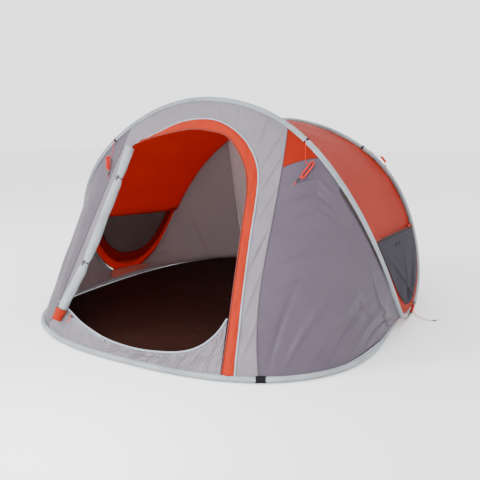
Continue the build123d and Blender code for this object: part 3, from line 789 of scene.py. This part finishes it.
clothSheet("rearMiddlePanel", rearPart(leftSeam, rightSeam), (0, 1, 0.6), cloths["pale"],
           cloths["paleInside"],
           ["rear_middle_panel"], wrinkled(0.008, 3.0, seed=3.0, folds=rearFolds, sag=0.010),
           (110, 70), lift=rearLift)
clothSheet("rearRightPanel", rearPart(rightSeam, rightFoot), (0.5, 1, 0.6), cloths["purple"],
           cloths["paleInside"],
           ["rear_right_panel"],
           wrinkled(0.006, 3.0, seed=4.0, folds=rearFolds[:2], sag=0.008),
           (90, 70), lift=rearLift)
clothSheet("rearLeftPanel", rearPart(leftFoot, leftSeam), (-0.5, 1, 0.6), cloths["purple"],
           cloths["paleInside"],
           ["rear_left_panel"],
           wrinkled(0.006, 3.0, seed=5.0, folds=rearFolds[:2], sag=0.008),
           (90, 70), lift=rearLift)
print("walls ready")


# ---- door: frame, storm band, sill and side strip, all on the front middle panel
openingEdge = [(0.12, 0.138), (0.25, 0.138), (0.40, 0.133), (0.505, 0.128), (0.61, 0.133), (0.685, 0.143),
               (0.75, 0.183), (0.805, 0.24), (0.84, 0.33), (0.848, 0.44), (0.855, 0.56), (0.862, 0.70),
               (0.868, 0.80), (0.872, 0.90), (0.875, 1.0)]
bandEdge = [(0.11, 0.133), (0.275, 0.118), (0.38, 0.095), (0.505, 0.082), (0.595, 0.082), (0.68, 0.098),
            (0.78, 0.138), (0.84, 0.185), (0.875, 0.24), (0.89, 0.32), (0.893, 0.42), (0.896, 0.56),
            (0.902, 0.705), (0.91, 0.845), (0.92, 1.0)]
sillEdge = [(0.0, 0.875), (0.11, 0.89), (0.20, 0.915), (0.295, 0.937), (0.375, 0.952), (0.46, 0.96),
            (0.535, 0.962), (0.635, 0.955), (0.73, 0.938), (0.775, 0.918), (0.815, 0.885), (0.842, 0.848),
            (0.860, 0.81)]
frameEdge = [(0.0, 0.0), (0.14, 0.0), (0.28, 0.0), (0.42, 0.0), (0.56, 0.0), (0.70, 0.0), (0.85, 0.0),
             (1.0, 0.0), (1.0, 0.15), (1.0, 0.27), (1.0, 0.41), (1.0, 0.55), (1.0, 0.70), (1.0, 0.85),
             (1.0, 1.0)]


def smoothEdge(pairs):
    p = np.asarray(pairs, float)
    return lineFunction(splinePoints(p, *endWays(p), perSpan=24))


def endWays(p):
    first, last = p[1] - p[0], p[-1] - p[-2]
    return first / np.linalg.norm(first), last / np.linalg.norm(last)


opening, band, sillTop = smoothEdge(openingEdge), smoothEdge(bandEdge), smoothEdge(sillEdge)
outerFrame = lineFunction(frameEdge)


def strip(outerEdge, innerEdge):
    def point(u, v):
        a, b = outerEdge(u), innerEdge(u)
        return middleFront(mix(a[..., 0], b[..., 0], v), mix(a[..., 1], b[..., 1], v))
    return point


def sill(u, v):
    edge = sillTop(u)
    return middleFront(mix(edge[..., 0], 0.872 * u, v), mix(edge[..., 1], 1, v))


def doorSide(u, v):
    return middleFront(0.10 * u, v)


doorOut = (0, -1, 0.6)
frameFolds = [((0.30, 0.1), (0.32, 0.9), 0.006, 0.004), ((0.36, 0.1), (0.39, 0.9), 0.006, -0.004),
              ((0.44, 0.1), (0.47, 0.95), 0.007, 0.005), ((0.50, 0.05), (0.53, 0.9), 0.006, -0.004),
              ((0.56, 0.1), (0.58, 0.95), 0.007, 0.005), ((0.63, 0.05), (0.66, 0.95), 0.008, 0.005),
              ((0.72, 0.05), (0.78, 0.95), 0.010, -0.006), ((0.80, 0.05), (0.88, 0.95), 0.010, 0.006),
              ((0.90, 0.05), (0.97, 0.95), 0.010, 0.006)]
clothSheet("doorFramePanel", strip(outerFrame, band), doorOut, cloths["pale"], cloths["paleInside"],
           ["door_frame_panel"], wrinkled(0.005, 7.0, seed=6.0, folds=frameFolds), (320, 30))


def noiseField(u, v, across, down, layer):
    return np.array([[noise.noise(Vector((a * across, b * down, layer))) for a, b in zip(ra, rb)]
                     for ra, rb in zip(u, v)])


def bandPucker(u, v, grid):
    waves = noiseField(u, v, 38, 1.5, 9.0)
    return waves * 0.007 * np.sin(math.pi * v) + 0.007 * np.sin(math.pi * v) ** 0.7


clothSheet("doorStormBand", strip(band, opening), doorOut, cloths["band"], cloths["orangeInside"],
           ["door_storm_band"], bandPucker, (260, 22), lift=0.002)


def sillGathers(u, v, grid):
    waves = noiseField(u, v, 20, 1.8, 2.0)
    fine = noiseField(u, v, 48, 2.5, 7.0)
    pleats = 0.0045 * np.sin(u * 190 + 14 * waves + 4 * v) * np.clip((u - 0.30) / 0.15, 0, 1)
    return (waves * 0.012 + fine * 0.007 + pleats) * np.sin(math.pi * np.clip(v, 0, 1)) ** 0.5


clothSheet("doorSillPanel", sill, doorOut, cloths["pale"], cloths["paleInside"], ["door_sill_panel"],
           sillGathers, (420, 30))
clothSheet("doorSideStrip", doorSide, doorOut, cloths["pale"], cloths["paleInside"], ["door_side_strip"],
           wrinkled(0.003, 8.0, seed=7.0), (12, 80), down=(0.0, 0.99))


def panelLine(edge, count=500, lift=0.003, start=0.0, end=1.0):
    # points a little outside the middle panel, along an edge given in its shares
    share = np.linspace(start, end, count)
    spot = edge(share)
    place = middleFront(spot[:, 0], spot[:, 1])
    right = middleFront(spot[:, 0] + 0.01, spot[:, 1]) - place
    below = middleFront(spot[:, 0], spot[:, 1] + 0.01) - place
    out = np.cross(right, below)
    out /= np.linalg.norm(out, axis=1, keepdims=True)
    out *= np.sign((out * np.array(doorOut)).sum(1, keepdims=True))
    return place + out * lift


def edging(name, line, radius, material, slotName, flat=0.45, nodes=()):
    return stand(tubeMesh(name, line, radius, material, 10, flat, doorOut), slotName, *nodes)


edging("bandBinding", panelLine(band), 0.0055, cloths["binding"], "sleeve_grey", 0.4)
edging("openingBinding", panelLine(opening, lift=0.004), 0.0036, cloths["band"], "orange_cloth", 0.6)
edging("doorZipCoil", panelLine(opening, lift=0.0075), 0.0017, cloths["teeth"], "zip_tape", 0.8)
edging("sillBinding", panelLine(sillTop, lift=0.004), 0.0045, cloths["binding"], "sleeve_grey", 0.5)
print("door ready")


# ---- roof, end bands, windows and flaps
ends = {
    "bandFoot": 0.046, "windowBottom": 0.098, "windowSide": 0.13,
    "flapTop": 0.190, "flapBottom": 0.066, "flapSide": 0.045, "standOff": 0.006, "square": 0.75,
}


def roofPoint(along, depth):
    front, rear = frontArch(along), rearArch(along)
    return mix(front, rear, depth[..., None])


def uCurve(share, side, top, bottom):
    angle = math.pi * share
    swing = np.abs(np.cos(angle)) ** ends["square"] * np.sign(np.cos(angle))
    drop = np.abs(np.sin(angle)) ** ends["square"]
    return top - (top - bottom) * drop, 0.5 - (0.5 - side) * swing


def endPoint(side, along, depth, standOff):
    place = roofPoint(along if side > 0 else 1 - along, depth)
    place[..., 0] += side * standOff
    return place


def hugCurve(share):
    # the band's outer edge keeps to both sleeves and turns round just above the bare rod
    angle = math.pi * share
    swing = np.abs(np.cos(angle)) ** 0.22 * np.sign(np.cos(angle))
    drop = np.abs(np.sin(angle)) ** 0.9
    top = ends["flapTop"] + 0.004
    return top - (top - ends["bandFoot"]) * drop, 0.5 - 0.5 * swing


def endBand(side):
    def point(u, v):
        outer = hugCurve(u)
        inner = uCurve(u, ends["windowSide"], ends["flapTop"] + 0.004, ends["windowBottom"])
        return endPoint(side, mix(outer[0], inner[0], v), mix(outer[1], inner[1], v), 0)
    return point


def uSheet(side, edgeSide, top, bottom, standOff):
    def point(u, v):
        share = 0.98 * v
        left = uCurve(0.5 * share, edgeSide, top, bottom)
        right = uCurve(1 - 0.5 * share, edgeSide, top, bottom)
        return endPoint(side, mix(left[0], right[0], u), mix(left[1], right[1], u), standOff)
    return point


def roofShape(u, v, grid):
    # long soft folds between the arches, deepest in the middle of the span
    long = noiseField(u, v, 26, 0.9, 3.3)
    soft = noiseField(u, v, 9, 1.6, 8.8)
    return (long * 0.020 + soft * 0.016) * np.sin(math.pi * v) ** 0.5 - 0.018 * np.sin(math.pi * v)


roofSpan = (ends["flapTop"] - 0.004, 1 - ends["flapTop"] + 0.004)
clothSheet("roofPanel", roofPoint, (0, 0, 1), cloths["orange"], cloths["orangeInside"], ["roof_panel"],
           roofShape, (240, 60), across=roofSpan, lift=-0.012)


def endCorner(side):
    # cloth from an end band's foot down to the hem, between the front and rear walls
    def point(u, v):
        top = endPoint(side, np.full(u.shape, ends["bandFoot"] + 0.006), u, 0)
        foot = groundHoop(mix(hoops["frontFoot"] - 0.03, hoops["rearFoot"] + 0.03, u))
        foot[..., 0] *= side
        return mix(top, foot, v[..., None])
    return point


# painted shade: on the band's inside, the half nearer the window takes the darker red, standing in for less
# light coming through where the vent flap overlaps
def overlapShadeHalf(row):
    return row > 0.5


for sideName, side, bodyName in (("right", 1, "right_flap"), ("left", -1, "left_flap")):
    outward = (side, 0, 0.2)
    clothSheet(sideName + "EndBand", endBand(side), outward, cloths["orange"], cloths["orangeInside"],
               [sideName + "_end_band"], wrinkled(0.002, 7.0, seed=10.0 + side), (120, 24),
               rowMaterials=(cloths["darkRed"], overlapShadeHalf))
    clothSheet(sideName + "EndCorner", endCorner(side), outward, cloths["orange"], cloths["paleInside"],
               [sideName + "_end_corner"], wrinkled(0.003, 8.0, seed=15.0), (50, 30))
    clothSheet(sideName + "VentMesh", uSheet(side, ends["windowSide"] + 0.004, ends["flapTop"],
                                             ends["windowBottom"], -0.004), outward, cloths["mesh"],
               cloths["mesh"],
               [sideName + "_vent_mesh"], wrinkled(0.002, 9.0, seed=12.0), (50, 50))

    def flapShape(u, v, grid):
        diagonal = np.sin((u * 2.2 + v * 2.6) * 5.0) * 0.0025 + fold(u, v, (0.1, 0.05), (0.75, 0.8), 0.03,
                                                                     0.006)
        diagonal += fold(u, v, (0.5, 0.05), (0.35, 0.85), 0.03, -0.006) + fold(u, v, (0.9, 0.1), (0.5, 0.9),
                                                                               0.03, 0.005)
        return diagonal * edgeFade(u, v, 0.12) + 0.006 * np.sin(math.pi * u) * np.sin(math.pi * v * 0.5 + 0.2)

    clothSheet(sideName + "VentFlap", uSheet(side, ends["flapSide"], ends["flapTop"] - 0.002,
                                             ends["flapBottom"],
                                             ends["standOff"]), outward, cloths["flap"], cloths["flap"],
               [sideName + "_vent_flap"], flapShape, (60, 60), body=bodyName)
    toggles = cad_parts[sideName + "_vent_toggles"]
    toggles.data.materials.clear()
    toggles.data.materials.append(cloths["plastic"])
print("roof ready")


# ---- groundsheet
floorSizes = {"inset": 0.018, "rings": 46, "spokes": 180, "ripple": 0.004, "thickness": 0.0012}


def floorPoint(u, v):
    rim = groundHoop(2 * math.pi * u, floorSizes["inset"], 0.0026)
    middle = np.array([0, 0.0, 0.0026])
    return mix(middle, rim, v[..., None])


def floorRipples(u, v, grid):
    wave = ripples(grid, 5.0, floorSizes["ripple"], (1, 2.4, 1), 20.0, 4)
    return np.clip(wave + 0.002, 0, 0.012) * np.clip((1 - v) / 0.05, 0, 1)


clothSheet("floorCloth", floorPoint, (0, 0, 1), cloths["floor"], cloths["floor"], ["groundsheet"],
           floorRipples, (floorSizes["spokes"], floorSizes["rings"]), down=(0.002, 1.0),
           thickness=floorSizes["thickness"])
print("floor ready")


# ---- rolled door with its ties and orange cuff
roll = {
    "path": [(0.128, 0.165), (0.139, 0.34), (0.140, 0.53), (0.134, 0.70), (0.096, 0.895)],
    "away": (-0.15, -1, 0.5), "standOff": 0.036,
    "outer": 0.0265, "inner": 0.003, "pitch": 0.0036, "thickness": 0.0012, "ties": (0.20, 0.72),
    "pinch": 0.30,
    "cuffLong": 0.066, "cuffRadius": 0.0310,
}
rollPoints = np.array([np.array(frontMiddle(*place)) for place in roll["path"]])
rollPoints = rollPoints + np.array(Vector(roll["away"]).normalized()) * roll["standOff"]
rollLine = lineFunction(splinePoints(rollPoints, *endWays(rollPoints), perSpan=60))
rollFoot = Vector(rollPoints[-1])
rollWay = (rollFoot - Vector(rollPoints[-2])).normalized()
rollSide = rollWay.cross(Vector((0, 0, 1))).normalized()
rollUp = rollSide.cross(rollWay)
rollLong = float(np.linalg.norm(np.diff(rollLine(np.linspace(0, 1, 200)), axis=0), axis=1).sum())


def squeeze(share):
    # the roll is drawn in at its two ties
    out = np.ones_like(share)
    for tie in roll["ties"]:
        out = out - roll["pinch"] * np.exp(-((share - tie) / 0.035) ** 2)
    return out


def spiral(turnShare, along):
    big = roll["outer"]
    turns = (big - roll["inner"]) / roll["pitch"]
    radius = mix(roll["inner"], big, turnShare ** 0.75)
    angle = 2 * math.pi * turns * turnShare ** 0.75 + 2.4
    radius = radius * squeeze(along)
    return radius, angle


def rollPoint(u, v):
    radius, angle = spiral(u, v)
    soft = np.array([[noise.fractal(Vector((math.cos(g) * 1.2, math.sin(g) * 1.2, b * 11.0)), 1.0, 2.0, 2)
                      for g, b in zip(rg, rb)] for rg, rb in zip(angle, v)])
    radius = radius * (1 + (0.05 + 0.13 * u ** 3) * soft)
    middle = rollLine(v)
    return (middle + (np.cos(angle) * radius)[..., None] * np.array(rollSide)
            + (np.sin(angle) * radius)[..., None] * np.array(rollUp))


def rolledCloth():
    u, v = np.meshgrid(np.linspace(0, 1, 200), np.linspace(0, 1, 110), indexing="ij")
    outer = rollPoint(u, v)
    inward = rollLine(v) - outer
    inward /= np.linalg.norm(inward, axis=-1, keepdims=True)
    piece = gridMesh("rolledDoor", outer, outer + inward * roll["thickness"], cloths["roll"],
                     cloths["paleInside"])
    stand(piece, "sleeve_grey", "door_roll")
    return piece


rolledCloth()


def rollRing(name, share, radius, wide, material, slotName, nodes=()):
    middle = Vector(rollLine(share))
    angles = np.linspace(0, 2 * math.pi, 49)
    line = np.array([middle + rollSide * math.cos(a) * radius + rollUp * math.sin(a) * radius for a in angles])
    return stand(tubeMesh(name, line, wide, material, 8, 1.0, np.array(rollWay)), slotName, *nodes)


for tieNumber, share in enumerate(roll["ties"]):
    size = roll["outer"] * (1 - roll["pinch"]) + 0.001
    rollRing("rollTie" + str(tieNumber), share, size, 0.0022, cloths["webbing"], "dark_webbing",
             ["door_roll_ties"] if tieNumber == 0 else [])
    middle = Vector(rollLine(share))
    knot = middle + Vector((0.2, -1, 0.2)).normalized() * (size + 0.003)
    barrel = np.array([knot + rollWay * t for t in np.linspace(-0.016, 0.016, 9)])
    radii = 0.0045 - 0.0012 * np.abs(np.linspace(-1, 1, 9)) ** 3
    stand(tubeMesh("rollToggle" + str(tieNumber), barrel, radii, cloths["plastic"], 14), "runner_plastic")


def cuffPoint(u, v):
    angle = 2 * math.pi * 2.3 * u + 1.0
    soft = np.array([[noise.noise(Vector((math.cos(g) * 1.3, math.sin(g) * 1.3, b * 2.5)))
                      for g, b in zip(rg, rb)] for rg, rb in zip(angle, v)])
    radius = mix(roll["cuffRadius"] * 0.80, roll["cuffRadius"], u) * (1 - 0.16 * v) * (1 + 0.12 * soft)
    middle = np.array(rollFoot) + (mix(0.001, roll["cuffLong"], v))[..., None] * np.array(rollWay)
    return (middle + (np.cos(angle) * radius)[..., None] * np.array(rollSide)
            + (np.sin(angle) * radius)[..., None] * np.array(rollUp))


u, v = np.meshgrid(np.linspace(0, 1, 110), np.linspace(0, 1, 20), indexing="ij")
cuffOuter = cuffPoint(u, v)
centre = np.array(rollFoot) + (v * roll["cuffLong"])[..., None] * np.array(rollWay)
inward = centre - cuffOuter
inward /= np.linalg.norm(inward, axis=-1, keepdims=True)
cuff = gridMesh("rollCuff", cuffOuter, cuffOuter + inward * 0.0012, cloths["band"], cloths["orangeInside"])
stand(cuff, "orange_cloth", "door_roll_cuff")
print("rolled door ready")


# ---- zip tape with its coil, where the slider runs
zipStart = Vector(frontMiddle(0.150, 0.917))
zipEnd = Vector(frontMiddle(0.38, 0.962))
zipWay = (zipEnd - zipStart).normalized()
zipOut = Vector((-0.1, -1, 0.55))
zipOut = (zipOut - zipWay * zipOut.dot(zipWay)).normalized()
zipSide = zipWay.cross(zipOut).normalized()


def zipTape(u, v):
    place = np.array(zipStart + zipOut * 0.0085) + (u * (zipEnd - zipStart).length)[...,
                                                                                    None] * np.array(zipWay)
    return place + ((v - 0.5) * 0.011)[..., None] * np.array(zipSide)


clothSheet("doorZipTape", zipTape, tuple(zipOut), cloths["binding"], cloths["binding"], ["door_zip"],
           None, (80, 6), thickness=0.001, lift=0.0005)
coilLine = np.array([zipStart + zipOut * 0.0097 + zipWay * s for s in np.linspace(0,
                                                                                  (zipEnd - zipStart).length,
                                                                                  200)])
stand(tubeMesh("doorZipTeeth", coilLine, 0.0011 + 0.0003 * (np.arange(200) % 2), cloths["teeth"], 8),
      "zip_tape")


# ---- seams: a raised line of stitching along each join
def seamLine(name, point, across, radius=0.0022, lift=0.0015, outward=(0, -1, 0.6), inside=False):
    down = np.linspace(0, 1, 160)
    finish = "darkThread" if inside else "thread"
    place = point(np.full_like(down, across), down)
    away = np.asarray(outward, float)
    away /= np.linalg.norm(away)
    piece = tubeMesh(name, place + away * (lift if not inside else -lift), radius, cloths[finish], 8)
    return stand(piece, "pale_cloth")


seamLine("frontRightSeam", middleFront, 1.0)
seamLine("frontLeftSeam", middleFront, 0.0)
seamLine("rearLeftSeam", rearPart(leftSeam, rightSeam), 0.0, outward=(0, 1, 0.6))
seamLine("rearRightSeam", rearPart(leftSeam, rightSeam), 1.0, outward=(0, 1, 0.6))
for seamName, first, last, across in (("rearInsideSeamRight", leftSeam, rightSeam, 0.985),
                                      ("rearInsideSeamLeft", leftSeam, rightSeam, 0.015)):
    seamLine(seamName, rearPart(first, last), across, 0.0032, 0.006, (0, 1, 0.6), inside=True)
for side in (1, -1):
    angle = np.linspace(0.02, 0.98, 140)
    for edgeName, place in (("Inner", uCurve(angle, ends["windowSide"], ends["flapTop"] + 0.004,
                                              ends["windowBottom"])),
                            ("Outer", hugCurve(angle))):
        line = endPoint(side, place[0], place[1], -0.002)
        stand(tubeMesh(("right" if side > 0 else "left") + "Band" + edgeName + "Seam", line, 0.0028,
                       cloths["darkThread"], 8), "pale_cloth")
    top = endPoint(side, np.full(60, ends["flapTop"] - 0.001), np.linspace(0.02, 0.98, 60), -0.001)
    stand(tubeMesh(("right" if side > 0 else "left") + "FlapSeam", top, 0.0035, cloths["darkThread"], 8),
          "pale_cloth")
print("seams ready")
